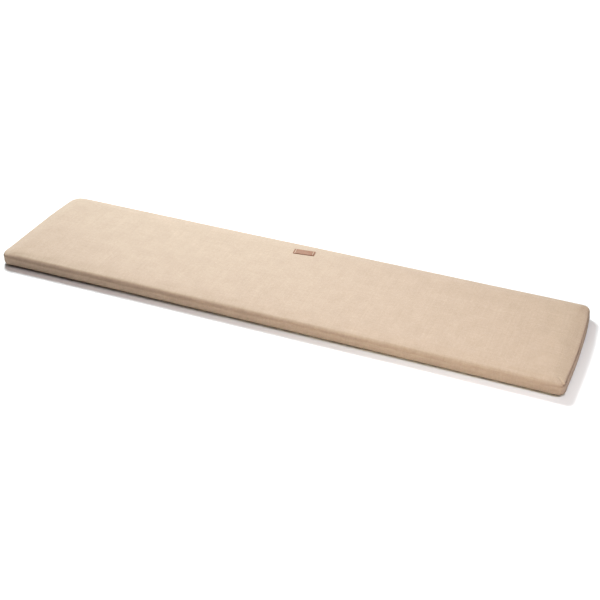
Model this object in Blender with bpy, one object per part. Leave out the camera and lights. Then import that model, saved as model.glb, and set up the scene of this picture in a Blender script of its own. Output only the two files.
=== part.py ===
"""A long, flat bench cushion with a boxed fabric cover, and a small bare leather tab sewn on its top panel.

The cushion lies on its back: length along X, depth along Y, and Z up from the floor it rests on. The origin is the
middle of its underside. All sizes are in metres.
"""

import math

import bmesh
import bpy
from mathutils import Matrix, Vector

# The cushion's overall sizes.
LENGTH = 1.600
DEPTH = 0.390
THICKNESS = 0.040
CROWN = 0.0022
CORNER_RADIUS = 0.030

# How the cover goes round the filling: the rounding of the top and bottom edges, and how far the long and short
# sides are drawn in at their middles.
TOP_ROUNDING = 0.013
BOTTOM_ROUNDING = 0.010
LONG_SIDE_DRAW = 0.0010
SHORT_SIDE_DRAW = 0.0006

# The two seams that join the side band to the panels. Each is a channel in the side.
TOP_SEAM_HEIGHT = 0.031
BOTTOM_SEAM_HEIGHT = 0.009
SEAM_DEPTH = 0.0014
SEAM_HALF_WIDTH = 0.0017
SEAM_CORNER_TUCK = 0.0008
SEAM_WANDER = 0.0008

# The soft unevenness of the filled top.
UNEVENNESS = 0.0004

# How finely the block is divided: rows round the edges, and lines across the panels.
ROUNDING_ROWS = 4
BAND_ROWS = 4
CORNER_SEGMENTS = 7
LENGTH_BAYS = 24
DEPTH_BAYS = 8

# The leather tab: its sizes, its place on the top panel, and the turn it was sewn on with.
TAB_LENGTH = 0.062
TAB_WIDTH = 0.025
TAB_THICKNESS = 0.0016
TAB_CORNER_RADIUS = 0.0020
TAB_EDGE_ROUNDING = 0.0005
TAB_PLACE = (-0.009, 0.145)
TAB_TURN = math.radians(7.5)
TAB_LENGTH_BAYS = 12
TAB_WIDTH_BAYS = 5
SEAT_GAP = 0.00035

FABRIC_COLOUR = (0.66, 0.54, 0.41, 1.0)
LEATHER_COLOUR = (0.46, 0.25, 0.15, 1.0)


def clear_scene():
    for item in list(bpy.data.objects):
        bpy.data.objects.remove(item, do_unlink=True)


def finish_material(name, colour, roughness):
    material = bpy.data.materials.new(name)
    material.use_nodes = True
    shader = material.node_tree.nodes["Principled BSDF"]
    shader.inputs["Base Color"].default_value = colour
    shader.inputs["Roughness"].default_value = roughness
    shader.inputs["Metallic"].default_value = 0.0
    material.diffuse_color = colour
    return material


def woven_fabric():
    return finish_material("woven_fabric", FABRIC_COLOUR, 0.9)


def tan_leather():
    return finish_material("tan_leather", LEATHER_COLOUR, 0.55)


def block(length, depth, height):
    """A closed box standing on z = 0, centred on the Z axis."""
    shape = bmesh.new()
    bmesh.ops.create_cube(shape, size=1.0)
    bmesh.ops.scale(shape, vec=(length, depth, height), verts=shape.verts)
    bmesh.ops.translate(shape, vec=(0.0, 0.0, height / 2), verts=shape.verts)
    return shape


def round_upright_edges(shape, radius, segments):
    upright = [edge for edge in shape.edges if abs(edge.verts[0].co.z - edge.verts[1].co.z) > radius * 1e-3]
    bmesh.ops.bevel(
        shape, geom=upright, offset=radius, offset_type="OFFSET", segments=segments, profile=0.5, affect="EDGES"
    )


def cut_across(shape, axis, positions):
    """Cuts the skin along the planes at these positions on one axis, and keeps both sides."""
    normal = Vector((0.0, 0.0, 0.0))
    normal[axis] = 1.0
    for position in positions:
        everything = list(shape.verts) + list(shape.edges) + list(shape.faces)
        bmesh.ops.bisect_plane(shape, geom=everything, dist=1e-7, plane_co=normal * position, plane_no=normal)


def bay_lines(half_size, margin, bays):
    """Evenly spaced lines across a panel, from one corner rounding to the other."""
    first = -half_size + margin
    return [first + 2 * (half_size - margin) * step / bays for step in range(bays + 1)]


def seam_rows(seam_height):
    return [seam_height + SEAM_HALF_WIDTH * step for step in (-1.3, -0.6, 0.0, 0.6, 1.3)]


def row_heights():
    """Heights of the rows round the side: close together in both roundings and both seams, wide apart between."""
    low_end = seam_rows(BOTTOM_SEAM_HEIGHT)[0]
    high_end = seam_rows(TOP_SEAM_HEIGHT)[-1]
    rows = seam_rows(BOTTOM_SEAM_HEIGHT) + seam_rows(TOP_SEAM_HEIGHT)
    for step in range(1, ROUNDING_ROWS):
        share = 1 - math.cos(math.pi / 2 * step / ROUNDING_ROWS)
        rows.append(low_end * share)
        rows.append(THICKNESS - (THICKNESS - high_end) * share)
    band_start = seam_rows(BOTTOM_SEAM_HEIGHT)[-1]
    band_end = seam_rows(TOP_SEAM_HEIGHT)[0]
    for step in range(1, BAND_ROWS):
        rows.append(band_start + (band_end - band_start) * step / BAND_ROWS)
    return sorted(rows)


def rounding_inset(distance, radius):
    """How far a rounded edge stands in from the side, at this distance from the panel's plane."""
    if distance >= radius:
        return 0.0
    return radius - math.sqrt(radius**2 - (radius - distance) ** 2)


def seam_pull(height, seam_height):
    return math.exp(-(((height - seam_height) / SEAM_HALF_WIDTH) ** 2))


def corner_share(outward):
    """1 at the middle of a plan corner, 0 along the straight sides."""
    return abs(2 * outward.x * outward.y) ** 2


def draw_share(along, side_length):
    """1 at the middle of a side, 0 where its corner roundings start."""
    straight = side_length - 2 * CORNER_RADIUS
    if abs(along) >= straight / 2:
        return 0.0
    return math.cos(math.pi * along / straight)


def side_inset(height, outward, place):
    """How far the side is pulled in here: edge roundings, seam channels and the draw between the corners."""
    inset = rounding_inset(THICKNESS - height, TOP_ROUNDING)
    inset += rounding_inset(height, BOTTOM_ROUNDING)
    seam_depth = SEAM_DEPTH + SEAM_CORNER_TUCK * corner_share(outward)
    inset += seam_depth * seam_pull(height, TOP_SEAM_HEIGHT)
    inset += seam_depth * seam_pull(height, BOTTOM_SEAM_HEIGHT)
    inset += LONG_SIDE_DRAW * abs(outward.y) * draw_share(place.x, LENGTH)
    inset += SHORT_SIDE_DRAW * abs(outward.x) * draw_share(place.y, DEPTH)
    return inset


def seam_wander(height, place):
    """The seams aren't sewn dead level: they rise and fall a little along the side."""
    along = math.sin(7.0 * place.x + 1.1) + 0.5 * math.sin(17.0 * place.x + 9.0 * place.y)
    near_top_seam = math.exp(-(((height - TOP_SEAM_HEIGHT) / (4 * SEAM_HALF_WIDTH)) ** 2))
    return SEAM_WANDER * along * near_top_seam


def plan_core_point(place):
    """The nearest point of the rectangle that joins the centres of the four plan corners."""
    reach_x = LENGTH / 2 - CORNER_RADIUS
    reach_y = DEPTH / 2 - CORNER_RADIUS
    return Vector((max(-reach_x, min(reach_x, place.x)), max(-reach_y, min(reach_y, place.y)), 0.0))


def shape_sides(shape):
    for vertex in shape.verts:
        place = vertex.co.copy()
        outward = Vector((place.x, place.y, 0.0)) - plan_core_point(place)
        if outward.length < CORNER_RADIUS * 0.98:
            continue
        outward.normalize()
        vertex.co -= outward * side_inset(place.z, outward, place)
        vertex.co.z += seam_wander(place.z, place)


def top_height(x, y):
    """The filled top over the floor: the rim's height, the crown, and a slight unevenness that fades at the rim."""
    fullness = max(0.0, 1 - abs(2 * x / LENGTH) ** 8) * max(0.0, 1 - abs(2 * y / DEPTH) ** 4)
    ripple = math.sin(9.0 * x + 0.7) * math.cos(14.0 * y) + 0.6 * math.sin(21.0 * x + 11.0 * y)
    return THICKNESS + CROWN * fullness + UNEVENNESS * ripple * fullness


def crown_top(shape):
    for vertex in shape.verts:
        if abs(vertex.co.z - THICKNESS) < 1e-6:
            vertex.co.z = top_height(vertex.co.x, vertex.co.y)


def add_object(name, shape, material, collection):
    mesh = bpy.data.meshes.new(name)
    bmesh.ops.recalc_face_normals(shape, faces=shape.faces)
    shape.to_mesh(mesh)
    shape.free()
    mesh.shade_smooth()
    mesh.set_sharp_from_angle(angle=math.radians(50))
    mesh.materials.append(material)
    item = bpy.data.objects.new(name, mesh)
    collection.objects.link(item)
    return item


def add_cushion(collection):
    """The filled cover: a block with rounded corners, its sides pulled in and its top crowned."""
    shape = block(LENGTH, DEPTH, THICKNESS)
    round_upright_edges(shape, CORNER_RADIUS, CORNER_SEGMENTS)
    cut_across(shape, 2, row_heights())
    cut_across(shape, 0, bay_lines(LENGTH / 2, CORNER_RADIUS, LENGTH_BAYS))
    cut_across(shape, 1, bay_lines(DEPTH / 2, CORNER_RADIUS, DEPTH_BAYS))
    shape_sides(shape)
    crown_top(shape)
    return add_object("cushion", shape, woven_fabric(), collection)


def drape_on_top(shape, seat):
    """Lets a flat piece follow the crown under it. seat places the piece on the top panel."""
    middle = seat @ Vector((0.0, 0.0, 0.0))
    for vertex in shape.verts:
        place = seat @ vertex.co
        vertex.co.z += top_height(place.x, place.y) - top_height(middle.x, middle.y)


def add_label(collection):
    """The bare leather tab: a thin plate with rounded corners and softened top edges, lying on the crown."""
    shape = block(TAB_LENGTH, TAB_WIDTH, TAB_THICKNESS)
    round_upright_edges(shape, TAB_CORNER_RADIUS, 4)
    rim = [edge for edge in shape.edges if all(abs(end.co.z - TAB_THICKNESS) < 1e-6 for end in edge.verts)]
    bmesh.ops.bevel(
        shape, geom=rim, offset=TAB_EDGE_ROUNDING, offset_type="OFFSET", segments=2, profile=0.5, affect="EDGES"
    )
    cut_across(shape, 0, bay_lines(TAB_LENGTH / 2, TAB_CORNER_RADIUS, TAB_LENGTH_BAYS))
    cut_across(shape, 1, bay_lines(TAB_WIDTH / 2, TAB_CORNER_RADIUS, TAB_WIDTH_BAYS))
    seat_height = top_height(*TAB_PLACE) + SEAT_GAP
    seat = Matrix.Translation((*TAB_PLACE, seat_height)) @ Matrix.Rotation(TAB_TURN, 4, "Z")
    drape_on_top(shape, seat)
    label = add_object("label", shape, tan_leather(), collection)
    label.location = (*TAB_PLACE, seat_height)
    label.rotation_euler = (0.0, 0.0, TAB_TURN)
    return label


clear_scene()
bench_cushion = bpy.data.collections.new("bench_cushion")
bpy.context.scene.collection.children.link(bench_cushion)
base = bpy.data.objects.new("bench_cushion_base", None)
bench_cushion.objects.link(base)
for piece in (add_cushion(bench_cushion), add_label(bench_cushion)):
    piece.parent = base
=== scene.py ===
import math

import bmesh
import bpy
import numpy as np
from mathutils import Matrix, Vector, noise
from mathutils.bvhtree import BVHTree


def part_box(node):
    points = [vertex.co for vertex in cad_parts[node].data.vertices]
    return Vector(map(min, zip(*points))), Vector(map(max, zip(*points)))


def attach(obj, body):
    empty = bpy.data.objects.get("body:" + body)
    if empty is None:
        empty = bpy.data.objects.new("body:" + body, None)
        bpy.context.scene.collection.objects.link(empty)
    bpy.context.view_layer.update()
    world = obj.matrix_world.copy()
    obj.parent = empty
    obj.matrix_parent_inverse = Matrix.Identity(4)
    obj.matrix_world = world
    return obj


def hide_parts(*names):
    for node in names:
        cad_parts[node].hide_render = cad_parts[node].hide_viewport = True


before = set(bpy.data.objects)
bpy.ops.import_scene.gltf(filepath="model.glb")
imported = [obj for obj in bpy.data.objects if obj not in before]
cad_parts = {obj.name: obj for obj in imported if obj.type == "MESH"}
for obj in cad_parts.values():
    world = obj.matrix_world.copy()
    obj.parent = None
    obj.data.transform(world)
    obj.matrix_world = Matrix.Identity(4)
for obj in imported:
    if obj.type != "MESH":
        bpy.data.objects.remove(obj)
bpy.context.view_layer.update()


# ----------------------------------------------------------------------------------------------------
# The filled cushion: a slab of firm foam in a boxed cover. Its top panel, bottom panel and side band are cut
# from one heavy, plain-woven canvas of oatmeal yarn. They are sewn face to face and turned out, so each seam
# lies as a channel in the side, with the folded allowance as a low ridge beside it.
# ----------------------------------------------------------------------------------------------------
cushion_low, cushion_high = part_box("cushion")
HALF_LENGTH = (cushion_high.x - cushion_low.x) / 2
HALF_DEPTH = (cushion_high.y - cushion_low.y) / 2
PLAN_CORNER = 0.030

# The long sides are drawn in at their middles. The back one is cut a little full, and only near its corners
# eases to a share of that. The right end is bowed out, most of all towards the back, and its band leans in
# towards the top. The left end isn't square: it stands out for most of its length, and draws in at the back.
LONG_SIDE_DRAW = 0.0010
BACK_SIDE_OUT = 0.0070
BACK_CORNER_SHARE = 0.5
BACK_CORNER_EASE = 12
RIGHT_END_BOW = 0.0055
RIGHT_END_LEAN = 0.0050
LEFT_END_OUT = 0.0022
LEFT_END_DRAW = 0.0130
LEFT_END_REACH = 0.20

# The filling pushes three corners out: corner signs, how far, and how far round the push reaches. The
# underside of the front right corner is lifted a little.
CORNER_PUSHES = ((-1, -1, 0.0024, 0.028), (1, -1, 0.0026, 0.015), (1, 1, 0.0026, 0.028))
LIFTED_CORNER = (1, -1)
CORNER_LIFT = 0.0018
CORNER_LIFT_REACH = 0.040

# Each panel rolls over softly near its edge, then turns down more tightly to its seam. The rim is where the
# tight turn starts, with the cloth already sloping by the rim's turn. At the short ends the roll is wider,
# the rim is lower and the top seam climbs almost to the edge, and round each corner this passes into the
# long side's form. The band is tucked in at the bottom, and the underside meets the floor inside its rim.
TOP_RIM_HEIGHT = 0.0395
TOP_ROUNDING = 0.015
TOP_RIM_TURN = math.radians(22.0)
TOP_CROWN = 0.0034
TOP_ROLL = 0.0090
END_CROWN = 0.0056
END_ROLL = 0.0150
END_SEAM_CLIMB = 0.0022
END_RIM_LOWERS_FROM = 0.024
END_BLEND = 0.022
UNEVENNESS = 0.0004
LOW_RIM_HEIGHT = 0.0034
LOW_ROUNDING = 0.0052
LOW_RIM_TURN = math.radians(18.0)
LOW_ROLL = 0.0105
LOW_TUCK = 0.0042
LOW_TUCK_STARTS = 0.0125
LOW_TUCK_CURVE = 1.6
FLOOR_PRESS = 0.03
TOP_SEAM_HEIGHT = 0.031
LOW_SEAM_HEIGHT = 0.0058
SEAM_WANDER = 0.0008
SEAM_WANDER_REACH = 0.0068

# The empty cover is this much smaller than the filled one: in plan all round, and in the height of its top.
PLAN_SLACK = 0.0002
TOP_SLACK = 0.0012

# How finely the cover is divided: numbers of bays, and heights of rows over the floor or beside a seam.
LENGTH_BAYS = 150
DEPTH_BAYS = 34
CORNER_BAYS = 6
TOP_EDGE_ROWS = (0.0387, 0.0376, 0.0363, 0.0348, 0.0333)
BESIDE_SEAM = (-0.0012, 0.0, 0.0012)
BAND_ROWS = (0.0084, 0.0112, 0.0145, 0.0185, 0.0225, 0.0265)
LOW_EDGE_ROWS = (0.0037, 0.0041)
SAME_PLACE = 1e-6


def even_lines(start, end, bays):
    return [start + (end - start) * step / bays for step in range(bays + 1)]


def panel_lines(half_size, corner, bays, corner_bays):
    """Cutting lines across a panel: even, and closer together where the plan's corners are rounded."""
    reach = half_size - corner
    outer = even_lines(reach, half_size, corner_bays)[1:-1]
    return [-line for line in reversed(outer)] + even_lines(-reach, reach, bays) + outer


def cut_block(half_length, half_depth, low, high, line_sets):
    """A closed block between two heights, its skin cut into bays along the lines given for each axis."""
    shape = bmesh.new()
    bmesh.ops.create_cube(shape, size=1.0)
    bmesh.ops.scale(shape, vec=(2 * half_length, 2 * half_depth, high - low), verts=shape.verts)
    bmesh.ops.translate(shape, vec=(0.0, 0.0, (low + high) / 2), verts=shape.verts)
    for axis, lines in enumerate(line_sets):
        normal = Vector((0.0, 0.0, 0.0))
        normal[axis] = 1.0
        for line in lines:
            everything = list(shape.verts) + list(shape.edges) + list(shape.faces)
            bmesh.ops.bisect_plane(
                shape, geom=everything, dist=SAME_PLACE, plane_co=normal * line, plane_no=normal,
            )
    return shape


def rounded_plan(place, half_length, half_depth, corner):
    """Splits a point of a square-cornered plan in two: the nearest point of the core, whose corners are the
    centres of the roundings, and the step from there out to the point's place in the rounded plan."""
    core = Vector((
        max(corner - half_length, min(half_length - corner, place.x)),
        max(corner - half_depth, min(half_depth - corner, place.y)),
    ))
    past = (Vector((place.x, place.y)) - core) / corner
    step = Vector((past.x * math.sqrt(1 - past.y**2 / 2), past.y * math.sqrt(1 - past.x**2 / 2)))
    return core, step * corner


def rounding_inset(distance, radius):
    """How far a rounded edge stands in from the side, at this distance from the top of its rounding."""
    if distance >= radius:
        return 0.0
    return radius - math.sqrt(radius**2 - (radius - distance) ** 2)


def below_top_rounding(height):
    return TOP_RIM_HEIGHT + TOP_ROUNDING * (1 - math.cos(TOP_RIM_TURN)) - height


def above_low_rounding(height):
    return height - LOW_RIM_HEIGHT + LOW_ROUNDING * (1 - math.cos(LOW_RIM_TURN))


def edge_inset(height):
    return rounding_inset(below_top_rounding(height), TOP_ROUNDING) + rounding_inset(
        above_low_rounding(height), LOW_ROUNDING
    )


def draw_share(along, reach):
    """1 at the middle of a side, 0 where its corner roundings start."""
    if abs(along) >= reach:
        return 0.0
    return math.cos(math.pi * along / (2 * reach))


def end_share(x, y):
    """1 near the middle of a short end, one half at a corner and 0 along the long sides."""
    closer = (HALF_DEPTH - abs(y)) - (HALF_LENGTH - abs(x))
    return 1 / (1 + math.exp(-closer / END_BLEND))


def seam_wander(height, x, y):
    """The top seam isn't sewn dead level: it climbs at the short ends, and rises and falls all along, on the
    long sides in waves of 0.9 m and 0.37 m."""
    along = SEAM_WANDER * (math.sin(7.0 * x + 1.1) + 0.5 * math.sin(17.0 * x + 9.0 * y))
    along += END_SEAM_CLIMB * end_share(x, y)
    return along * math.exp(-(((height - TOP_SEAM_HEIGHT) / SEAM_WANDER_REACH) ** 2))


def lowered_rim(height, x, y):
    """How much lower the cover's top edge lies here than along the long sides."""
    near_rim = (height - END_RIM_LOWERS_FROM) / (TOP_RIM_HEIGHT - END_RIM_LOWERS_FROM)
    return (END_CROWN - TOP_CROWN) * end_share(x, y) * max(0.0, min(1.0, near_rim)) ** 2


def inside_rim(core, step, inset):
    """How far a point of a panel lies in from the panel's rim."""
    from_step = (PLAN_CORNER - step.length) * (1 - inset / PLAN_CORNER)
    if step.length > 0:
        return from_step
    return from_step + min(HALF_LENGTH - PLAN_CORNER - abs(core.x), HALF_DEPTH - PLAN_CORNER - abs(core.y))


def low_tuck(height):
    """The band turns in under the cushion, more and more towards the floor."""
    share = max(0.0, (LOW_TUCK_STARTS - height) / (LOW_TUCK_STARTS - LOW_RIM_HEIGHT))
    return LOW_TUCK * share**LOW_TUCK_CURVE


def corner_centre(sign_x, sign_y):
    """The centre of a corner's rounding in the plan as cut."""
    return Vector((sign_x * (HALF_LENGTH - PLAN_CORNER), sign_y * (HALF_DEPTH - PLAN_CORNER)))


def near_corner(plan, sign_x, sign_y, reach):
    """1 at the outermost point of a corner, fading away from it."""
    outermost = corner_centre(sign_x, sign_y) + Vector((sign_x, sign_y)) / math.sqrt(2) * PLAN_CORNER
    return math.exp(-(((plan - outermost).length / reach) ** 2))


def sew_plan(plan):
    """Moves a point of the plan as cut to where it lies in the plan as sewn."""
    sewn = plan.copy()
    from_left_end = max(0.0, 1 - (plan.x + HALF_LENGTH) / LEFT_END_REACH)
    backward = max(0.0, min(1.0, (plan.y + HALF_DEPTH) / (2 * HALF_DEPTH)))
    eased = (1 - BACK_CORNER_SHARE) * (abs(plan.x) / HALF_LENGTH) ** BACK_CORNER_EASE
    sewn.x += (LEFT_END_DRAW * backward**5 - LEFT_END_OUT) * from_left_end**2
    sewn.y += BACK_SIDE_OUT * backward**3 * (1 - eased)
    for sign_x, sign_y, push, reach in CORNER_PUSHES:
        sewn += Vector((sign_x, sign_y)) / math.sqrt(2) * push * near_corner(plan, sign_x, sign_y, reach)
    return sewn


def top_ripple(x, y):
    """The slow unevenness of the filled top: waves of 0.7 by 0.45 m, and slanting ones of 0.27 m."""
    return math.sin(9.0 * x + 0.7) * math.cos(14.0 * y) + 0.6 * math.sin(21.0 * x + 11.0 * y)


def cover_point(place):
    """Where a point of the block lies on the empty cover."""
    core, step = rounded_plan(place, HALF_LENGTH, HALF_DEPTH, PLAN_CORNER)
    outward = step.normalized() if step.length > 0 else step
    inset = edge_inset(place.z) + PLAN_SLACK
    inset += LONG_SIDE_DRAW * abs(outward.y) * draw_share(place.x, HALF_LENGTH - PLAN_CORNER)
    inset += low_tuck(place.z)
    if outward.x > 0:
        reach = HALF_DEPTH - PLAN_CORNER
        fuller = place.y * place.y / reach if place.y > 0 else place.y
        inset -= RIGHT_END_BOW * outward.x * draw_share(fuller, reach)
        inset += RIGHT_END_LEAN * outward.x**3 * min(1.0, place.z / TOP_SEAM_HEIGHT)
    plan = core + step * (1 - inset / PLAN_CORNER)
    inside = inside_rim(core, step, inset)
    height = place.z + seam_wander(place.z, plan.x, plan.y) - lowered_rim(place.z, plan.x, plan.y)
    if place.z > TOP_RIM_HEIGHT - SAME_PLACE:
        end = end_share(plan.x, plan.y)
        crown = TOP_CROWN + (END_CROWN - TOP_CROWN) * end + UNEVENNESS * top_ripple(plan.x, plan.y)
        roll = TOP_ROLL + (END_ROLL - TOP_ROLL) * end
        height += (crown - TOP_SLACK) * (1 - math.exp(-inside / roll))
    elif place.z < LOW_RIM_HEIGHT + SAME_PLACE:
        share = (1 + FLOOR_PRESS) * math.exp(-inside / LOW_ROLL) - FLOOR_PRESS
        height = max(0.0, LOW_RIM_HEIGHT * share)
    lift = CORNER_LIFT * near_corner(plan, *LIFTED_CORNER, CORNER_LIFT_REACH)
    height += lift * max(0.0, 1 - place.z / TOP_SEAM_HEIGHT)
    return Vector((*sew_plan(plan), height))


def round_the_edge(distance, radius):
    """Cloth length round an edge, from the top of its rounding down to this distance from it."""
    if distance >= radius:
        return radius * math.pi / 2 + distance - radius
    return radius * math.acos(1 - distance / radius)


def over_top_seam(height):
    """Cloth length up the side from the top seam to this height."""
    at_seam = round_the_edge(below_top_rounding(TOP_SEAM_HEIGHT), TOP_ROUNDING)
    return at_seam - round_the_edge(below_top_rounding(height), TOP_ROUNDING)


def over_low_seam(height):
    """Cloth length up the side from the bottom seam to this height."""
    at_seam = round_the_edge(above_low_rounding(LOW_SEAM_HEIGHT), LOW_ROUNDING)
    return round_the_edge(above_low_rounding(height), LOW_ROUNDING) - at_seam


# From this share of a corner's radius outwards, a point lies on the side itself.
ON_THE_SIDE = 0.999


def panel_cloth_place(place, rim_height, past_rim):
    """Where a point of the block lies in the flat cloth of a panel, which goes past its rim to the seam."""
    core, step = rounded_plan(place, HALF_LENGTH, HALF_DEPTH, PLAN_CORNER)
    flat = core + step * (1 - edge_inset(rim_height) / PLAN_CORNER)
    if step.length > PLAN_CORNER * ON_THE_SIDE:
        flat += step.normalized() * past_rim
    return flat


def band_cloth_place(place, side):
    """Where a point of the block lies in the flat cloth of the band. side counts the four sides in turn."""
    along, half = (place.x, HALF_LENGTH) if side % 2 == 0 else (place.y, HALF_DEPTH)
    reach = half - PLAN_CORNER
    past = max(0.0, abs(along) - reach) * math.pi / 4
    unrolled = math.copysign(min(abs(along), reach) + past, along)
    quarter = HALF_LENGTH + HALF_DEPTH - 2 * PLAN_CORNER * (1 - math.pi / 4)
    return Vector((side * quarter + (unrolled if side < 2 else -unrolled), place.z))


# The cut pieces lie apart from each other on the flat cloth.
TOP_CLOTH = Vector((0.0, 0.0))
BOTTOM_CLOTH = Vector((0.0, 1.0))
BAND_CLOTH = Vector((0.0, 2.0))


def lay_cloth(shape):
    """Gives each face's corners their place in the cut cloth, in metres, before the block is shaped."""
    cloth = shape.loops.layers.uv.new("cloth_place")
    for face in shape.faces:
        middle = face.calc_center_median()
        if abs(face.normal.y) > 0.5:
            side = 0 if face.normal.y < 0 else 2
        else:
            side = 1 if face.normal.x > 0 else 3
        for corner in face.loops:
            place = corner.vert.co
            if middle.z > TOP_SEAM_HEIGHT:
                past_rim = over_top_seam(TOP_RIM_HEIGHT) - over_top_seam(place.z)
                corner[cloth].uv = TOP_CLOTH + panel_cloth_place(place, TOP_RIM_HEIGHT, past_rim)
            elif middle.z < LOW_SEAM_HEIGHT:
                past_rim = over_low_seam(place.z) - over_low_seam(LOW_RIM_HEIGHT)
                corner[cloth].uv = BOTTOM_CLOTH + panel_cloth_place(place, LOW_RIM_HEIGHT, past_rim)
            else:
                corner[cloth].uv = BAND_CLOTH + band_cloth_place(place, side)


def measure_from_seams(shape):
    """Notes at each point how far it lies from the two seams over the cloth."""
    from_top = shape.verts.layers.float.new("over_top_seam")
    from_low = shape.verts.layers.float.new("over_low_seam")
    for vertex in shape.verts:
        core, step = rounded_plan(vertex.co, HALF_LENGTH, HALF_DEPTH, PLAN_CORNER)
        on_top = vertex.co.z > TOP_RIM_HEIGHT - SAME_PLACE
        on_bottom = vertex.co.z < LOW_RIM_HEIGHT + SAME_PLACE
        inside = inside_rim(core, step, edge_inset(vertex.co.z)) if on_top or on_bottom else 0.0
        vertex[from_top] = over_top_seam(vertex.co.z) + (inside if on_top else 0.0)
        vertex[from_low] = over_low_seam(vertex.co.z) - (inside if on_bottom else 0.0)


def add_piece(name, shape):
    """Turns the faces of a finished skin outwards and puts it in the scene as a piece of its own."""
    bmesh.ops.recalc_face_normals(shape, faces=shape.faces)
    mesh = bpy.data.meshes.new(name)
    shape.to_mesh(mesh)
    shape.free()
    mesh.shade_smooth()
    piece = bpy.data.objects.new(name, mesh)
    bpy.context.scene.collection.objects.link(piece)
    return piece


def make_cover():
    rows = [seam + step for seam in (LOW_SEAM_HEIGHT, TOP_SEAM_HEIGHT) for step in BESIDE_SEAM]
    rows += list(TOP_EDGE_ROWS) + list(BAND_ROWS) + list(LOW_EDGE_ROWS)
    shape = cut_block(HALF_LENGTH, HALF_DEPTH, LOW_RIM_HEIGHT, TOP_RIM_HEIGHT, (
        panel_lines(HALF_LENGTH, PLAN_CORNER, LENGTH_BAYS, CORNER_BAYS),
        panel_lines(HALF_DEPTH, PLAN_CORNER, DEPTH_BAYS, CORNER_BAYS),
        rows,
    ))
    lay_cloth(shape)
    measure_from_seams(shape)
    for vertex in shape.verts:
        vertex.co = cover_point(vertex.co)
    return add_piece("filled_cover", shape)


def point_places(item):
    places = np.empty(len(item.data.vertices) * 3)
    item.data.vertices.foreach_get("co", places)
    return places.reshape(-1, 3)


def point_normals(item):
    normals = np.empty(len(item.data.vertices) * 3)
    item.data.vertices.foreach_get("normal", normals)
    return normals.reshape(-1, 3)


def move_points(item, places):
    item.data.vertices.foreach_set("co", places.ravel())
    item.data.update()


def point_values(item, name):
    values = np.empty(len(item.data.vertices))
    item.data.attributes[name].data.foreach_get("value", values)
    return values


def keep_point_values(item, name, values):
    attribute = item.data.attributes.get(name) or item.data.attributes.new(name, "FLOAT", "POINT")
    attribute.data.foreach_set("value", values)


def take_shape(item):
    """Makes what the modifiers give the object's own mesh, and takes the modifiers off."""
    graph = bpy.context.evaluated_depsgraph_get()
    shaped = bpy.data.meshes.new_from_object(
        item.evaluated_get(graph), preserve_all_data_layers=True, depsgraph=graph,
    )
    item.modifiers.clear()
    item.data = shaped


# The filling presses the cover out as a soft pressure. The seams are held by their stitching, and the
# underside by the floor. No point moves further than the firm foam lets it.
FILLING_PRESSURE = 4.0
FILLING_STEPS = 20
FURTHEST_SWELL = 0.0010
HELD_BY_STITCHING = 0.0004
NEXT_TO_NOTHING = 1e-9


def fill_cover(cover):
    empty_places = point_places(cover)
    over_top, over_low = point_values(cover, "over_top_seam"), point_values(cover, "over_low_seam")
    stitched = np.minimum(abs(over_top), abs(over_low)) < HELD_BY_STITCHING
    on_floor = empty_places[:, 2] < LOW_RIM_HEIGHT + 10 * SAME_PLACE
    held = [int(index) for index in np.nonzero(stitched | on_floor)[0]]
    cover.vertex_groups.new(name="held").add(held, 1.0, "REPLACE")
    cloth = cover.modifiers.new("filling", "CLOTH")
    cloth.settings.vertex_group_mass = "held"
    cloth.settings.use_pressure = True
    cloth.settings.uniform_pressure_force = FILLING_PRESSURE
    cloth.settings.effector_weights.gravity = 0.0
    cloth.settings.quality = 4
    cloth.collision_settings.use_collision = False
    cloth.point_cache.frame_start = 1
    cloth.point_cache.frame_end = FILLING_STEPS
    for step in range(1, FILLING_STEPS + 1):
        bpy.context.scene.frame_set(step)
    take_shape(cover)
    bpy.context.scene.frame_set(1)
    swell = point_places(cover) - empty_places
    distance = np.maximum(np.linalg.norm(swell, axis=1, keepdims=True), NEXT_TO_NOTHING)
    eased = FURTHEST_SWELL * np.tanh(distance / FURTHEST_SWELL)
    move_points(cover, empty_places + swell / distance * eased)
    cover.vertex_groups.clear()


def refine(item, levels):
    finer = item.modifiers.new("refine", "SUBSURF")
    finer.levels = levels
    finer.render_levels = levels
    take_shape(item)


filled_cover = make_cover()
fill_cover(filled_cover)
refine(filled_cover, 1)


# The stitching pulls each seam into a channel. The folded allowance inside lifts a low ridge along its band
# side, and a lower one on the panel: place over the seam, half width and height.
SEAM_DEPTH = 0.00045
END_SEAM_DEPTH = 0.0014
LOW_SEAM_DEPTH = 0.0012
SEAM_HALF_WIDTH = 0.0013
CORNER_TUCK = 0.0011
BAND_RIDGE = (-0.0036, 0.0016, 0.00040)
PANEL_RIDGE = (0.0034, 0.0018, 0.00022)

# Slack between stitches leaves faint puckers across the top seam, and spare cloth leaves small gathers round
# its corners.
PUCKER_DEPTH = 0.00022
PUCKER_REACH = 0.0085
PUCKERS_PER_METRE = 62.0
SMALL_PUCKERS = 2.3
SMALL_PUCKER_SHARE = 0.5
GATHER_DEPTH = 0.00034
GATHER_REACH = 0.010
GATHERS_PER_CORNER = 5

# The top seam is pinched in where it comes round the front right corner.
PINCH_PLACE = (0.793, -0.171)
PINCH_REACH = 0.011
PINCH_DEPTH = 0.0016

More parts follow.
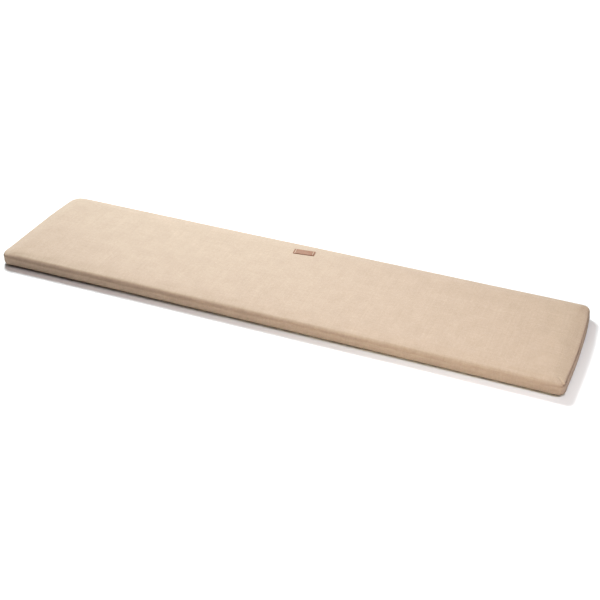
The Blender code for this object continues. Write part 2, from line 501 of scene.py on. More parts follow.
# Painted shade darkens the seams, as lines with a place over the seam and a half width: least along the top
# seam's long sides, more in the pinch at the front right corner, and most along the bottom seam's, next to
# the floor. The cloth is rubbed along the panel's edge and on the band's ridges.
TOP_PAINTED_SHADE_LINE = (0.0, 0.0015)
SIDE_PAINTED_SHADE = 0.05
PINCH_PAINTED_SHADE_LINE = (0.0008, 0.0022)
PINCH_PAINTED_SHADE = 1.6
LOW_PAINTED_SHADE_LINE = (-0.0008, 0.0024)
LOW_PAINTED_SHADE = 2.3
END_LOW_PAINTED_SHADE = 0.6
EDGE_RUB_LINE = (0.0125, 0.006)
EDGE_RUB = 0.15
TOP_RIDGE_RUB = 0.3
LOW_RIDGE_RUB = 0.5


def soft_ridge(distance, middle, half_width, height=1.0):
    return height * np.exp(-(((distance - middle) / half_width) ** 2))


def add_puckers(lift, places, over_top):
    for index in np.nonzero(abs(over_top) < 4 * PUCKER_REACH)[0]:
        place = Vector(places[index])
        pucker = noise.noise(place * PUCKERS_PER_METRE)
        pucker += SMALL_PUCKER_SHARE * noise.noise(place * SMALL_PUCKERS * PUCKERS_PER_METRE)
        lift[index] += PUCKER_DEPTH * pucker * math.exp(-abs(over_top[index]) / PUCKER_REACH)


def add_gathers(lift, places, over_top):
    for index in np.nonzero((over_top > 0) & (over_top < 4 * GATHER_REACH))[0]:
        past_x = abs(places[index][0]) - (HALF_LENGTH - PLAN_CORNER)
        past_y = abs(places[index][1]) - (HALF_DEPTH - PLAN_CORNER)
        if past_x > 0 and past_y > 0:
            turn = math.atan2(past_y, past_x) / (math.pi / 2)
            fade = math.sin(math.pi * turn) * math.exp(-over_top[index] / GATHER_REACH)
            lift[index] += GATHER_DEPTH * fade * math.cos(2 * math.pi * GATHERS_PER_CORNER * turn)


def carve_seams(cover):
    places, normals = point_places(cover), point_normals(cover)
    over_top, over_low = point_values(cover, "over_top_seam"), point_values(cover, "over_low_seam")
    at_corner = abs(2 * normals[:, 0] * normals[:, 1]) ** 2
    at_end = normals[:, 0] ** 2 / (normals[:, 0] ** 2 + normals[:, 1] ** 2 + NEXT_TO_NOTHING)
    from_pinch = np.hypot(places[:, 0] - PINCH_PLACE[0], places[:, 1] - PINCH_PLACE[1])
    pinch = np.exp(-((from_pinch / PINCH_REACH) ** 2))
    top_depth = SEAM_DEPTH + (END_SEAM_DEPTH - SEAM_DEPTH) * at_end
    top_depth += CORNER_TUCK * at_corner
    top_depth += PINCH_DEPTH * pinch
    lift = -top_depth * soft_ridge(over_top, 0.0, SEAM_HALF_WIDTH)
    lift -= soft_ridge(over_low, 0.0, SEAM_HALF_WIDTH, LOW_SEAM_DEPTH)
    for middle, half_width, height in (BAND_RIDGE, PANEL_RIDGE):
        lift += soft_ridge(over_top, middle, half_width, height)
        lift += soft_ridge(over_low, -middle, half_width, height)
    add_puckers(lift, places, over_top)
    add_gathers(lift, places, over_top)
    move_points(cover, places + normals * lift[:, None])
    # Painted shade: the seams' channels, the pinch and the bottom edge next to the floor are darkened where
    # shade falls.
    top_darkening = SIDE_PAINTED_SHADE + (1 - SIDE_PAINTED_SHADE) * np.maximum(at_end, at_corner)
    low_darkening = LOW_PAINTED_SHADE + (END_LOW_PAINTED_SHADE - LOW_PAINTED_SHADE) * at_end
    crease = top_darkening * soft_ridge(over_top, *TOP_PAINTED_SHADE_LINE)
    crease += PINCH_PAINTED_SHADE * pinch * soft_ridge(over_top, *PINCH_PAINTED_SHADE_LINE)
    crease += low_darkening * soft_ridge(over_low, *LOW_PAINTED_SHADE_LINE)
    keep_point_values(cover, "crease", crease)
    ridge_place, ridge_half_width = BAND_RIDGE[:2]
    rub = soft_ridge(over_top, *EDGE_RUB_LINE, EDGE_RUB)
    rub += soft_ridge(over_top, ridge_place, ridge_half_width, TOP_RIDGE_RUB)
    rub += soft_ridge(over_low, -ridge_place, ridge_half_width, LOW_RIDGE_RUB)
    keep_point_values(cover, "rub", rub)


# Where the top seam turns each corner, the spare cloth of the panel tucks into a small fold that runs in from
# the seam, with a low lip beside it. Each fold has its corner's signs, its turn from the long side in
# degrees, its length and its depth.
CORNER_FOLDS = (
    (1, -1, 38.0, 0.034, 0.0042),
    (-1, -1, 52.0, 0.016, 0.0009),
    (1, 1, 47.0, 0.018, 0.0010),
    (-1, 1, 40.0, 0.014, 0.0007),
)
FOLD_START = 0.003
FOLD_SLANT = 0.10
FOLD_LEAD = 0.002
FOLD_DEEPENS_OVER = 0.006
FOLD_HALF_WIDTH = 0.0022
LIP_SHARE = 0.45
LIP_PLACE = 2.2 * FOLD_HALF_WIDTH
LIP_HALF_WIDTH = 1.3 * FOLD_HALF_WIDTH


def press_corner_folds(cover):
    places, normals = point_places(cover), point_normals(cover)
    over_top = point_values(cover, "over_top_seam")
    lift = np.zeros(len(places))
    for sign_x, sign_y, turn, length, depth in CORNER_FOLDS:
        inward = Vector((-sign_x * math.cos(math.radians(turn)), -sign_y * math.sin(math.radians(turn))))
        sideways = Vector((-inward.y, inward.x)) * sign_x * sign_y
        centre = sew_plan(corner_centre(sign_x, sign_y))
        start = centre - inward * (PLAN_CORNER - FOLD_START)
        along = (places[:, 0] - start.x) * inward.x + (places[:, 1] - start.y) * inward.y
        across = (places[:, 0] - start.x) * sideways.x + (places[:, 1] - start.y) * sideways.y
        across -= FOLD_SLANT * along
        deepens = np.clip(1 + (along + FOLD_LEAD) / FOLD_DEEPENS_OVER, 0, 1)
        on_panel = np.clip(1 - along / length, 0, 1) * deepens * (over_top > 0)
        lift -= on_panel * soft_ridge(across, 0.0, FOLD_HALF_WIDTH, depth)
        lift += on_panel * soft_ridge(across, LIP_PLACE, LIP_HALF_WIDTH, LIP_SHARE * depth)
    move_points(cover, places + normals * lift[:, None])


def rest_on_floor(cover):
    """Nothing goes below the floor that the cushion lies on."""
    places = point_places(cover)
    places[:, 2] = np.maximum(places[:, 2], 0.0)
    move_points(cover, places)


carve_seams(filled_cover)
press_corner_folds(filled_cover)
rest_on_floor(filled_cover)


def put(tree, socket, value):
    """Links a socket to what comes out of another node, or sets it to a plain value."""
    if isinstance(value, bpy.types.NodeSocket):
        tree.links.new(value, socket)
    else:
        socket.default_value = value


def reckon(tree, operation, *values, clamp=False):
    node = tree.nodes.new("ShaderNodeMath")
    node.operation = operation
    node.use_clamp = clamp
    for socket, value in zip(node.inputs, values):
        put(tree, socket, value)
    return node.outputs[0]


def blend_colours(tree, share, first, second):
    node = tree.nodes.new("ShaderNodeMix")
    node.data_type = "RGBA"
    node.clamp_factor = True
    colour_sockets = [socket for socket in node.inputs if socket.type == "RGBA"]
    put(tree, node.inputs["Factor"], share)
    put(tree, colour_sockets[0], first)
    put(tree, colour_sockets[1], second)
    return next(socket for socket in node.outputs if socket.type == "RGBA")


def scaled(tree, vector, scale):
    """Multiplies a place or a colour by a size or a gain."""
    node = tree.nodes.new("ShaderNodeVectorMath")
    node.operation = "MULTIPLY"
    put(tree, node.inputs[0], vector)
    put(tree, node.inputs[1], scale)
    return node.outputs[0]


def place_at(tree, along, across):
    node = tree.nodes.new("ShaderNodeCombineXYZ")
    put(tree, node.inputs["X"], along)
    put(tree, node.inputs["Y"], across)
    return node.outputs[0]


def noise_value(tree, vector, detail=2.0, roughness=0.5):
    node = tree.nodes.new("ShaderNodeTexNoise")
    put(tree, node.inputs["Vector"], vector)
    node.inputs["Scale"].default_value = 1.0
    node.inputs["Detail"].default_value = detail
    node.inputs["Roughness"].default_value = roughness
    return node.outputs["Fac"]


def new_group(name, inputs, outputs):
    """A node group with named sockets: an input is (name, kind, value), an output is (name, kind)."""
    tree = bpy.data.node_groups.new(name, "ShaderNodeTree")
    for label, kind, value in inputs:
        socket = tree.interface.new_socket(label, in_out="INPUT", socket_type="NodeSocket" + kind)
        socket.default_value = value
    for label, kind in outputs:
        tree.interface.new_socket(label, in_out="OUTPUT", socket_type="NodeSocket" + kind)
    return tree, tree.nodes.new("NodeGroupInput").outputs, tree.nodes.new("NodeGroupOutput").inputs


def place_group(tree, group, **values):
    """Sets a group in a material. Its input Cloth Place, say, is given as cloth_place."""
    node = tree.nodes.new("ShaderNodeGroup")
    node.node_tree = group
    for name, value in values.items():
        put(tree, node.inputs[name.replace("_", " ").title()], value)
    return node.outputs


# In the weave each yarn dips between its crossings. Its slubs are lighter and darker stretches along it. The
# steps keep each yarn's slubs apart from its neighbour's, and the weft's from the warp's.
YARN_DIP = 0.4
SLUBS_PER_METRE = 90.0
SLUB_CONTRAST = 1.7
YARN_STEP = 0.731
WEFT_STEP = 40.0


def make_plain_weave():
    """One yarn over, one under. Warp runs along the cloth's second direction and weft along its first."""
    tree, given, result = new_group(
        "plain_weave",
        [
            ("Cloth Place", "Vector", (0.0, 0.0, 0.0)),
            ("Yarns Per Metre", "Float", 900.0),
            ("Light Yarn", "Color", (1.0, 1.0, 1.0, 1.0)),
            ("Dark Yarn", "Color", (0.5, 0.5, 0.5, 1.0)),
            ("Gap Shade", "Float", 0.3),
        ],
        [("Colour", "Color"), ("Height", "Float")],
    )
    split = tree.nodes.new("ShaderNodeSeparateXYZ")
    put(tree, split.inputs[0], given["Cloth Place"])
    counts, places = [], []
    for axis in (0, 1):
        yarns = reckon(tree, "MULTIPLY", split.outputs[axis], given["Yarns Per Metre"])
        counts.append(reckon(tree, "FLOOR", yarns))
        places.append(reckon(tree, "SUBTRACT", reckon(tree, "FRACT", yarns), 0.5))
    weft_over = reckon(tree, "FLOORED_MODULO", reckon(tree, "ADD", counts[0], counts[1]), 2.0)
    humps = [reckon(tree, "COSINE", reckon(tree, "MULTIPLY", place, math.pi)) for place in places]
    lengthwise = [reckon(tree, "MULTIPLY_ADD", hump, YARN_DIP, 1 - YARN_DIP) for hump in humps]
    warp_height = reckon(tree, "MULTIPLY", humps[0], lengthwise[1])
    weft_height = reckon(tree, "MULTIPLY", humps[1], lengthwise[0])
    rise = reckon(tree, "SUBTRACT", weft_height, warp_height)
    height = reckon(tree, "MULTIPLY_ADD", rise, weft_over, warp_height)
    tones = []
    for axis, other in ((0, 1), (1, 0)):
        yarn_place = reckon(tree, "MULTIPLY_ADD", counts[axis], YARN_STEP, WEFT_STEP * axis)
        slub_place = reckon(tree, "MULTIPLY", split.outputs[other], SLUBS_PER_METRE)
        tones.append(noise_value(tree, place_at(tree, yarn_place, slub_place), detail=3.0, roughness=0.7))
    tone = reckon(tree, "MULTIPLY_ADD", reckon(tree, "SUBTRACT", tones[1], tones[0]), weft_over, tones[0])
    spread = reckon(tree, "MULTIPLY_ADD", reckon(tree, "SUBTRACT", tone, 0.5), SLUB_CONTRAST, 0.5, clamp=True)
    yarn = blend_colours(tree, spread, given["Dark Yarn"], given["Light Yarn"])
    low = reckon(tree, "SUBTRACT", 1.0, height, clamp=True)
    shade = reckon(tree, "SUBTRACT", 1.0, reckon(tree, "MULTIPLY", low, given["Gap Shade"]))
    put(tree, result["Colour"], scaled(tree, yarn, shade))
    put(tree, result["Height"], height)
    return tree


def make_soft_mottle():
    """Slow light and dark clouds over a colour, at two sizes."""
    tree, given, result = new_group(
        "soft_mottle",
        [
            ("Colour", "Color", (1.0, 1.0, 1.0, 1.0)),
            ("Place", "Vector", (0.0, 0.0, 0.0)),
            ("Wide Clouds", "Float", 12.0),
            ("Fine Clouds", "Float", 90.0),
            ("Amount", "Float", 0.05),
        ],
        [("Colour", "Color")],
    )
    clouds = []
    for label in ("Wide Clouds", "Fine Clouds"):
        cloud = noise_value(tree, scaled(tree, given["Place"], given[label]), detail=3.0)
        clouds.append(reckon(tree, "SUBTRACT", cloud, 0.5))
    strength = reckon(tree, "MULTIPLY", reckon(tree, "ADD", *clouds), 2.0)
    gain = reckon(tree, "MULTIPLY_ADD", strength, given["Amount"], 1.0)
    put(tree, result["Colour"], scaled(tree, given["Colour"], gain))
    return tree


# The rubbing is broken up into small patches, and a rubbed place is this much smoother.
WEAR_PATCHES = (140.0, 140.0, 140.0)
WEAR_CONTRAST = 1.2
RUBBED_SMOOTHER = -0.08


def make_handled_wear():
    """Rubbed places turn lighter, and the given lines turn darker: painted shade in the canvas's seams,
    the burnished edge on the leather.
    """
    tree, given, result = new_group(
        "wear_and_darkening",
        [
            ("Colour", "Color", (1.0, 1.0, 1.0, 1.0)),
            ("Rubbed Colour", "Color", (1.0, 1.0, 1.0, 1.0)),
            ("Rub", "Float", 0.0),
            ("Crease", "Float", 0.0),
            ("Crease Shade", "Float", 0.3),
            ("Place", "Vector", (0.0, 0.0, 0.0)),
        ],
        [("Colour", "Color"), ("Roughness Change", "Float")],
    )
    patches = noise_value(tree, scaled(tree, given["Place"], WEAR_PATCHES), detail=4.0, roughness=0.6)
    broken = reckon(tree, "MULTIPLY_ADD", patches, WEAR_CONTRAST, (1 - WEAR_CONTRAST) / 2)
    share = reckon(tree, "MULTIPLY", given["Rub"], broken, clamp=True)
    rubbed = blend_colours(tree, share, given["Colour"], given["Rubbed Colour"])
    shade = reckon(tree, "MULTIPLY", given["Crease"], given["Crease Shade"])
    dim = reckon(tree, "SUBTRACT", 1.0, shade, clamp=True)
    put(tree, result["Colour"], scaled(tree, rubbed, dim))
    put(tree, result["Roughness Change"], reckon(tree, "MULTIPLY", share, RUBBED_SMOOTHER))
    return tree


plain_weave = make_plain_weave()
soft_mottle = make_soft_mottle()
wear_and_darkening = make_handled_wear()

# The canvas: its yarns, the long faint streaks of uneven yarn in both directions, how it is worn, and
# painted shade in its seams.
OATMEAL_LIGHT = (0.549, 0.398, 0.292, 1.0)
OATMEAL_DARK = (0.432, 0.299, 0.210, 1.0)
OATMEAL_RUBBED = (0.60, 0.45, 0.34, 1.0)
YARNS_PER_METRE = 850.0
YARN_RELIEF = 0.00030
LENGTHWISE_STREAKS = (6.0, 260.0, 1.0)
CROSSWISE_STREAKS = (230.0, 7.0, 1.0)
STREAK_AMOUNT = 0.17
CANVAS_RUB = 0.35
CANVAS_ROUGHNESS = 0.92


def new_material(name):
    material = bpy.data.materials.new(name)
    material.use_nodes = True
    return material, material.node_tree, material.node_tree.nodes["Principled BSDF"]


def attribute_value(tree, name):
    node = tree.nodes.new("ShaderNodeAttribute")
    node.attribute_name = name
    return node.outputs["Fac"]


def raise_surface(tree, shader, height, distance):
    bump = tree.nodes.new("ShaderNodeBump")
    bump.inputs["Strength"].default_value = 1.0
    bump.inputs["Distance"].default_value = distance
    put(tree, bump.inputs["Height"], height)
    put(tree, shader.inputs["Normal"], bump.outputs["Normal"])


def make_oatmeal_canvas():
    material, tree, shader = new_material("oatmeal_canvas")
    cloth_place = tree.nodes.new("ShaderNodeUVMap")
    cloth_place.uv_map = "cloth_place"
    place = cloth_place.outputs["UV"]
    woven = place_group(
        tree, plain_weave, cloth_place=place, yarns_per_metre=YARNS_PER_METRE,
        light_yarn=OATMEAL_LIGHT, dark_yarn=OATMEAL_DARK, gap_shade=0.22,
    )
    streaks = reckon(
        tree, "ADD",
        noise_value(tree, scaled(tree, place, LENGTHWISE_STREAKS)),
        noise_value(tree, scaled(tree, place, CROSSWISE_STREAKS)),
    )
    gain = reckon(tree, "MULTIPLY_ADD", reckon(tree, "SUBTRACT", streaks, 1.0), STREAK_AMOUNT, 1.0)
    streaked = scaled(tree, woven["Colour"], gain)
    clouded = place_group(
        tree, soft_mottle, colour=streaked, place=place, wide_clouds=22.0, fine_clouds=120.0, amount=0.10,
    )
    # The seams are darkened here with painted shade, and rubbed places lightened.
    worn_and_darkened = place_group(
        tree, wear_and_darkening, colour=clouded["Colour"], rubbed_colour=OATMEAL_RUBBED, place=place,
        rub=reckon(tree, "MULTIPLY", attribute_value(tree, "rub"), CANVAS_RUB),
        crease=attribute_value(tree, "crease"), crease_shade=0.30,
    )
    put(tree, shader.inputs["Base Color"], worn_and_darkened["Colour"])
    put(tree, shader.inputs["Roughness"], reckon(tree, "ADD", worn_and_darkened["Roughness Change"], CANVAS_ROUGHNESS))
    shader.inputs["Specular IOR Level"].default_value = 0.25
    shader.inputs["Sheen Weight"].default_value = 0.15
    shader.inputs["Sheen Roughness"].default_value = 0.45
    shader.inputs["Sheen Tint"].default_value = (1.0, 0.95, 0.88, 1.0)
    raise_surface(tree, shader, woven["Height"], YARN_RELIEF)
    return material


filled_cover.data.materials.append(make_oatmeal_canvas())
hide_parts("cushion")
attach(filled_cover, "root")


# ----------------------------------------------------------------------------------------------------
# The leather tab: a small bare rectangle of tan, vegetable-tanned leather, cut with a knife, with burnished
# edges. It lies flat on the top panel near the back edge and is sewn down across each short end.
# ----------------------------------------------------------------------------------------------------
TAB_LENGTH = 0.062
TAB_WIDTH = 0.025
TAB_THICKNESS = 0.0016
TAB_CORNER = 0.0020
TAB_EDGE_ROUNDING = 0.0005
TAB_PLACE = (-0.009, 0.1442)
TAB_TURN = math.radians(7.5)
TAB_LIFT = 0.00005
TAB_LENGTH_BAYS = 64
TAB_WIDTH_BAYS = 24
TAB_CORNER_BAYS = 4
TAB_LOW_ROWS = (0.0005, 0.0009)
TAB_ROWS_BELOW_TOP = (0.0004, 0.0002, 0.00006)
BURNISH_WIDTH = 0.0011
STITCH_LINE = TAB_LENGTH / 2 - 0.0055
STITCH_PRESS = 0.00028
STITCH_PRESS_HALF_WIDTH = 0.0012

cover_surface = BVHTree.FromObject(filled_cover, bpy.context.evaluated_depsgraph_get())
tab_seat = Matrix.Translation((*TAB_PLACE, 0.0)) @ Matrix.Rotation(TAB_TURN, 4, "Z")


def cover_height(x, y):
    return cover_surface.ray_cast(Vector((x, y, 1.0)), Vector((0.0, 0.0, -1.0)))[0].z


def tab_point(place):
    """Where a point of the flat leather lies once it is rounded off, sewn down and resting on the cover."""
    core, step = rounded_plan(place, TAB_LENGTH / 2, TAB_WIDTH / 2, TAB_CORNER)
    plan = core + step * (1 - rounding_inset(TAB_THICKNESS - place.z, TAB_EDGE_ROUNDING) / TAB_CORNER)
    seated = tab_seat @ Vector((plan.x, plan.y, 0.0))
    from_stitches = abs(abs(plan.x) - STITCH_LINE)
    pressed = STITCH_PRESS * math.exp(-((from_stitches / STITCH_PRESS_HALF_WIDTH) ** 2))
    pressed *= place.z / TAB_THICKNESS
    seated.z = cover_height(seated.x, seated.y) + TAB_LIFT + place.z - pressed
    return seated


def make_leather_tab():
    shape = cut_block(TAB_LENGTH / 2, TAB_WIDTH / 2, 0.0, TAB_THICKNESS, (
        panel_lines(TAB_LENGTH / 2, TAB_CORNER, TAB_LENGTH_BAYS, TAB_CORNER_BAYS),
        panel_lines(TAB_WIDTH / 2, TAB_CORNER, TAB_WIDTH_BAYS, TAB_CORNER_BAYS),
        TAB_LOW_ROWS + tuple(TAB_THICKNESS - below for below in TAB_ROWS_BELOW_TOP),
    ))
    cut = shape.loops.layers.uv.new("leather_place")
    from_edge = shape.verts.layers.float.new("from_edge")
    for face in shape.faces:
        for corner in face.loops:
            corner[cut].uv = corner.vert.co.xy
    for vertex in shape.verts:
        inner = min(TAB_LENGTH / 2 - abs(vertex.co.x), TAB_WIDTH / 2 - abs(vertex.co.y))
        vertex[from_edge] = max(0.0, inner)
        vertex.co = tab_point(vertex.co)
    tab = add_piece("leather_tab", shape)
    keep_point_values(tab, "burnish", np.exp(-((point_values(tab, "from_edge") / BURNISH_WIDTH) ** 2)))
    return tab


TAN_LIGHT = (0.235, 0.103, 0.054, 1.0)
TAN_DARK = (0.155, 0.061, 0.029, 1.0)
TAN_RUBBED = (0.31, 0.160, 0.092, 1.0)
HIDE_PATCHES = (160.0, 260.0, 1.0)
PORES_PER_METRE = 1500.0
PORE_SHADE = 0.16
PORE_RELIEF = 0.00012
LEATHER_ROUGHNESS = 0.58
SMOOTHER_BETWEEN_PORES = -0.10


def make_tan_leather():
    material, tree, shader = new_material("tan_leather")
    leather_place = tree.nodes.new("ShaderNodeUVMap")
    leather_place.uv_map = "leather_place"
    place = leather_place.outputs["UV"]
    pores = tree.nodes.new("ShaderNodeTexVoronoi")
    pores.feature = "DISTANCE_TO_EDGE"
    put(tree, pores.inputs["Vector"], place)
    pores.inputs["Scale"].default_value = PORES_PER_METRE
    grain = reckon(tree, "MULTIPLY", pores.outputs["Distance"], 3.0, clamp=True)
    tone = noise_value(tree, scaled(tree, place, HIDE_PATCHES), detail=4.0, roughness=0.6)
    hide = blend_colours(tree, tone, TAN_DARK, TAN_LIGHT)
    share = reckon(tree, "MULTIPLY_ADD", grain, PORE_SHADE, 1 - PORE_SHADE)
    pored = blend_colours(tree, share, TAN_DARK, hide)
    clouded = place_group(
        tree, soft_mottle, colour=pored, place=place, wide_clouds=45.0, fine_clouds=420.0, amount=0.08,
    )
    worn_and_darkened = place_group(
        tree, wear_and_darkening, colour=clouded["Colour"], rubbed_colour=TAN_RUBBED, place=place, rub=0.12,
        crease=attribute_value(tree, "burnish"), crease_shade=0.20,
    )
    put(tree, shader.inputs["Base Color"], worn_and_darkened["Colour"])
    roughness = reckon(tree, "MULTIPLY_ADD", grain, SMOOTHER_BETWEEN_PORES, LEATHER_ROUGHNESS)
    put(tree, shader.inputs["Roughness"], roughness)
    shader.inputs["Specular IOR Level"].default_value = 0.28
    raise_surface(tree, shader, grain, PORE_RELIEF)
    return material


leather_tab = make_leather_tab()
leather_tab.data.materials.append(make_tan_leather())
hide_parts("label")
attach(leather_tab, "root")


# ----------------------------------------------------------------------------------------------------
# The tab's stitches: waxed cream thread, in a row of short stitches across each end of the tab. Each one
# comes up through one hole in the leather, lies along it under tension and goes down through the next.
# ----------------------------------------------------------------------------------------------------
STITCHES_PER_ROW = 5
STITCH_LENGTH = 0.0034
STITCH_STEP = 0.0044
STITCH_SLANT = 0.00022
THREAD_RADIUS = 0.00042
STITCH_RISE = 2.1 * THREAD_RADIUS
STITCH_SUNK = 0.55 * STITCH_RISE
POINTS_PER_STITCH = 12
THREAD_SIDES = 10
THREAD_END_TAPER = 0.75
THREAD_TWIST_LENGTH = 0.0011


def stitch_path(row_x, middle_y):
    """Centreline of one stitch on the seated tab, from hole to hole."""
    path = []
    for step in range(POINTS_PER_STITCH + 1):
        share = step / POINTS_PER_STITCH
        rise = STITCH_RISE * math.sqrt(math.sin(math.pi * share)) if 0 < share < 1 else 0.0
        place = (row_x + STITCH_SLANT * (share - 0.5), middle_y + STITCH_LENGTH * (share - 0.5), 0.0)
        point = tab_seat @ Vector(place)
        leather = cover_height(point.x, point.y) + TAB_LIFT + TAB_THICKNESS - STITCH_PRESS
        point.z = leather + rise - STITCH_SUNK
        path.append(point)
    return path


def add_stitch(shape, twist, path):
    rings = []
    for index, point in enumerate(path):
        ahead = (path[min(index + 1, len(path) - 1)] - path[max(index - 1, 0)]).normalized()
        side = ahead.cross(Vector((0.0, 0.0, 1.0))).normalized()
        up = side.cross(ahead)
        radius = THREAD_RADIUS * (THREAD_END_TAPER if index in (0, len(path) - 1) else 1.0)
        turns = [2 * math.pi * turn / THREAD_SIDES for turn in range(THREAD_SIDES)]
        outs = [side * math.cos(turn) + up * math.sin(turn) for turn in turns]
        rings.append([shape.verts.new(point + out * radius) for out in outs])
    for index in range(len(rings) - 1):
        for turn in range(THREAD_SIDES):
            following = (turn + 1) % THREAD_SIDES
            near, far = rings[index], rings[index + 1]
            face = shape.faces.new((near[turn], near[following], far[following], far[turn]))
            places = ((index, turn), (index, turn + 1), (index + 1, turn + 1), (index + 1, turn))
            for corner, (along, around) in zip(face.loops, places):
                corner[twist].uv = (along * STITCH_LENGTH / POINTS_PER_STITCH, around / THREAD_SIDES)
    shape.faces.new(reversed(rings[0]))
    shape.faces.new(rings[-1])


def make_tab_stitches():
    shape = bmesh.new()
    twist = shape.loops.layers.uv.new("thread_place")
    for row_x in (-STITCH_LINE, STITCH_LINE):
        for number in range(STITCHES_PER_ROW):
            middle_y = STITCH_STEP * (number - (STITCHES_PER_ROW - 1) / 2)
            add_stitch(shape, twist, stitch_path(row_x, middle_y))
    return add_piece("tab_stitches", shape)


THREAD_LIGHT = (0.80, 0.68, 0.52, 1.0)
THREAD_DARK = (0.55, 0.43, 0.30, 1.0)
THREAD_RELIEF = 0.00008


def make_cream_thread():
    material, tree, shader = new_material("cream_thread")
    thread_place = tree.nodes.new("ShaderNodeUVMap")
    thread_place.uv_map = "thread_place"
    split = tree.nodes.new("ShaderNodeSeparateXYZ")
    put(tree, split.inputs[0], thread_place.outputs["UV"])
    turns = reckon(tree, "MULTIPLY_ADD", split.outputs[0], 1 / THREAD_TWIST_LENGTH, split.outputs[1])
    strands = reckon(tree, "ABSOLUTE", reckon(tree, "SINE", reckon(tree, "MULTIPLY", turns, math.pi * 2)))
    twisted = blend_colours(tree, strands, THREAD_DARK, THREAD_LIGHT)
    clouded = place_group(
        tree, soft_mottle, colour=twisted, place=thread_place.outputs["UV"],
        wide_clouds=300.0, fine_clouds=2500.0, amount=0.06,
    )
    put(tree, shader.inputs["Base Color"], clouded["Colour"])
    shader.inputs["Roughness"].default_value = 0.55
    shader.inputs["Sheen Weight"].default_value = 0.2
    raise_surface(tree, shader, strands, THREAD_RELIEF)
    return material


tab_stitches = make_tab_stitches()
tab_stitches.data.materials.append(make_cream_thread())
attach(tab_stitches, "root")


# ----------------------------------------------------------------------------------------------------
# The studio floor: one wide, seamless sheet of matt white acrylic. It glows with painted light, as if lit
# from below, except under and close round the cushion, so that it stays white to its edges.
# ----------------------------------------------------------------------------------------------------
FLOOR_HALF_SIZE = 9.0
FLOOR_WHITE = (0.93, 0.93, 0.93, 1.0)
GLOW_STARTS = 0.08
GLOW_FULL = 0.70
FLOOR_GLOW = 1.3


def make_floor():
    shape = bmesh.new()
    bmesh.ops.create_grid(shape, x_segments=2, y_segments=2, size=FLOOR_HALF_SIZE)
    mesh = bpy.data.meshes.new("studio_floor")
    shape.to_mesh(mesh)
    shape.free()
    floor = bpy.data.objects.new("studio_floor", mesh)
    bpy.context.scene.collection.objects.link(floor)
    material, tree, shader = new_material("matt_acrylic")
    object_place = tree.nodes.new("ShaderNodeTexCoord").outputs["Object"]
    clouded = place_group(
        tree, soft_mottle, colour=FLOOR_WHITE, place=object_place,
        wide_clouds=0.7, fine_clouds=6.0, amount=0.006,
    )
    put(tree, shader.inputs["Base Color"], clouded["Colour"])
    split = tree.nodes.new("ShaderNodeSeparateXYZ")
    put(tree, split.inputs[0], object_place)
    squares = []
    for axis, half in enumerate((HALF_LENGTH, HALF_DEPTH)):
        past = reckon(tree, "SUBTRACT", reckon(tree, "ABSOLUTE", split.outputs[axis]), half)
        outside = reckon(tree, "MAXIMUM", past, 0.0)
        squares.append(reckon(tree, "MULTIPLY", outside, outside))
    away = reckon(tree, "SQRT", reckon(tree, "ADD", *squares))
    ramp = tree.nodes.new("ShaderNodeMapRange")
    ramp.interpolation_type = "SMOOTHSTEP"
    ramp.inputs["From Min"].default_value = GLOW_STARTS
    ramp.inputs["From Max"].default_value = GLOW_FULL
    put(tree, ramp.inputs["Value"], away)
    put(tree, shader.inputs["Emission Color"], ramp.outputs["Result"])
    shader.inputs["Emission Strength"].default_value = FLOOR_GLOW
    shader.inputs["Roughness"].default_value = 0.85
    shader.inputs["Specular IOR Level"].default_value = 0.1
    floor.data.materials.append(material)
    return floor


studio_floor = make_floor()


# ----------------------------------------------------------------------------------------------------
# The camera, from high in front of the right end, and the studio light: a strong softbox behind the left end,
# a wide one overhead, weaker ones at the right end and in front, and a white backdrop far behind the floor.
# ----------------------------------------------------------------------------------------------------
CAMERA_PLACE = (0.9586, -2.4104, 1.6302)
CAMERA_YAW = math.radians(-20.938)
CAMERA_PITCH = math.radians(32.612)
CAMERA_ROLL = math.radians(1.264)
LENS_MM = 66.4
BACKDROP_LIGHT = 1.3


def add_camera():
    forward = Vector((
        math.sin(CAMERA_YAW) * math.cos(CAMERA_PITCH), math.cos(CAMERA_YAW) * math.cos(CAMERA_PITCH),
        -math.sin(CAMERA_PITCH),
    ))
    right = Vector((math.cos(CAMERA_YAW), -math.sin(CAMERA_YAW), 0.0))
    roll = Matrix.Rotation(CAMERA_ROLL, 3, -forward)
    right = roll @ right
    up = right.cross(forward)
    data = bpy.data.cameras.new("studio_camera")
    data.sensor_width = 36.0
    data.lens = LENS_MM
    data.clip_start = 0.05
    data.clip_end = 60.0
    camera = bpy.data.objects.new("studio_camera", data)
    facing = Matrix((right, up, -forward)).transposed().to_4x4()
    camera.matrix_world = Matrix.Translation(CAMERA_PLACE) @ facing
    bpy.context.scene.collection.objects.link(camera)
    bpy.context.scene.camera = camera


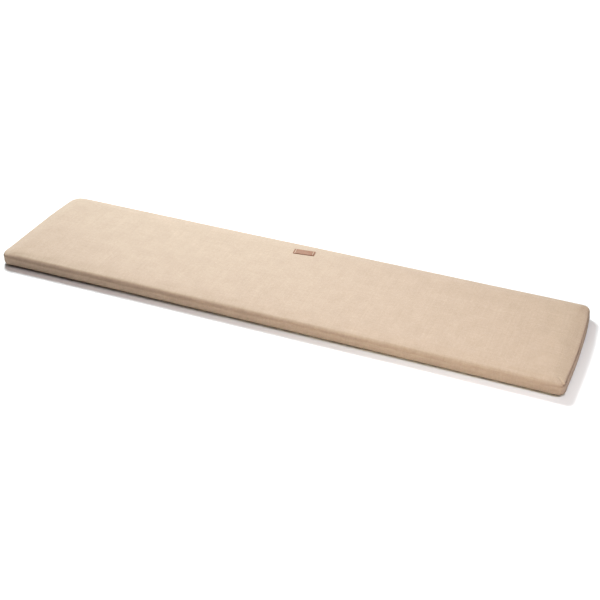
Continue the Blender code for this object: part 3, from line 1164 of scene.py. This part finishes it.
def add_softbox(name, place, aim, side, watts, spread, colour):
    """A square softbox. spread is how wide its grid lets the light out, in degrees."""
    data = bpy.data.lights.new(name, "AREA")
    data.shape = "SQUARE"
    data.size = side
    data.energy = watts
    data.color = colour
    data.spread = math.radians(spread)
    softbox = bpy.data.objects.new(name, data)
    softbox.location = place
    softbox.rotation_euler = (Vector(aim) - Vector(place)).to_track_quat("-Z", "Y").to_euler()
    bpy.context.scene.collection.objects.link(softbox)


def hang_backdrop():
    """White paper past the floor's edges. It is seen, but stands too far off to light the cushion."""
    world = bpy.data.worlds.new("studio_backdrop")
    world.use_nodes = True
    tree = world.node_tree
    background = tree.nodes["Background"]
    background.inputs["Color"].default_value = (1.0, 1.0, 1.0, 1.0)
    seen = tree.nodes.new("ShaderNodeLightPath").outputs["Is Camera Ray"]
    put(tree, background.inputs["Strength"], reckon(tree, "MULTIPLY", seen, BACKDROP_LIGHT))
    bpy.context.scene.world = world


# How the film answers to light: straight up to half of white, then a shoulder that eases the lightest tones.
FILM_WHITE = 1.15
FILM_SHOULDER = ((0.25, 0.25), (0.50, 0.50), (0.67, 0.638), (0.72, 0.680), (0.85, 0.770), (1.00, 0.870))


def load_film():
    view = bpy.context.scene.view_settings
    view.view_transform = "Standard"
    view.look = "None"
    view.use_curve_mapping = True
    film = view.curve_mapping
    film.white_level = (FILM_WHITE, FILM_WHITE, FILM_WHITE)
    for light, shown in FILM_SHOULDER:
        film.curves[3].points.new(light / FILM_WHITE, shown)
    film.update()


add_camera()
add_softbox("key_softbox", (-1.76, 1.78, 2.40), (-0.10, -0.05, 0.0), 1.10, 44.0, 66.0, (0.90, 0.985, 1.0))
add_softbox("side_fill", (1.0, -0.7, 1.5), (0.65, -0.1, 0.0), 0.6, 7.9, 120.0, (0.96, 0.93, 1.0))
add_softbox("front_fill", (0.7, -1.6, 1.2), (0.5, -0.2, 0.0), 0.6, 1.32, 60.0, (1.0, 0.90, 0.62))
add_softbox("top_softbox", (-0.3, -0.1, 2.4), (-0.3, -0.1, 0.0), 1.0, 6.0, 120.0, (1.0, 0.83, 0.76))
hang_backdrop()
load_film()
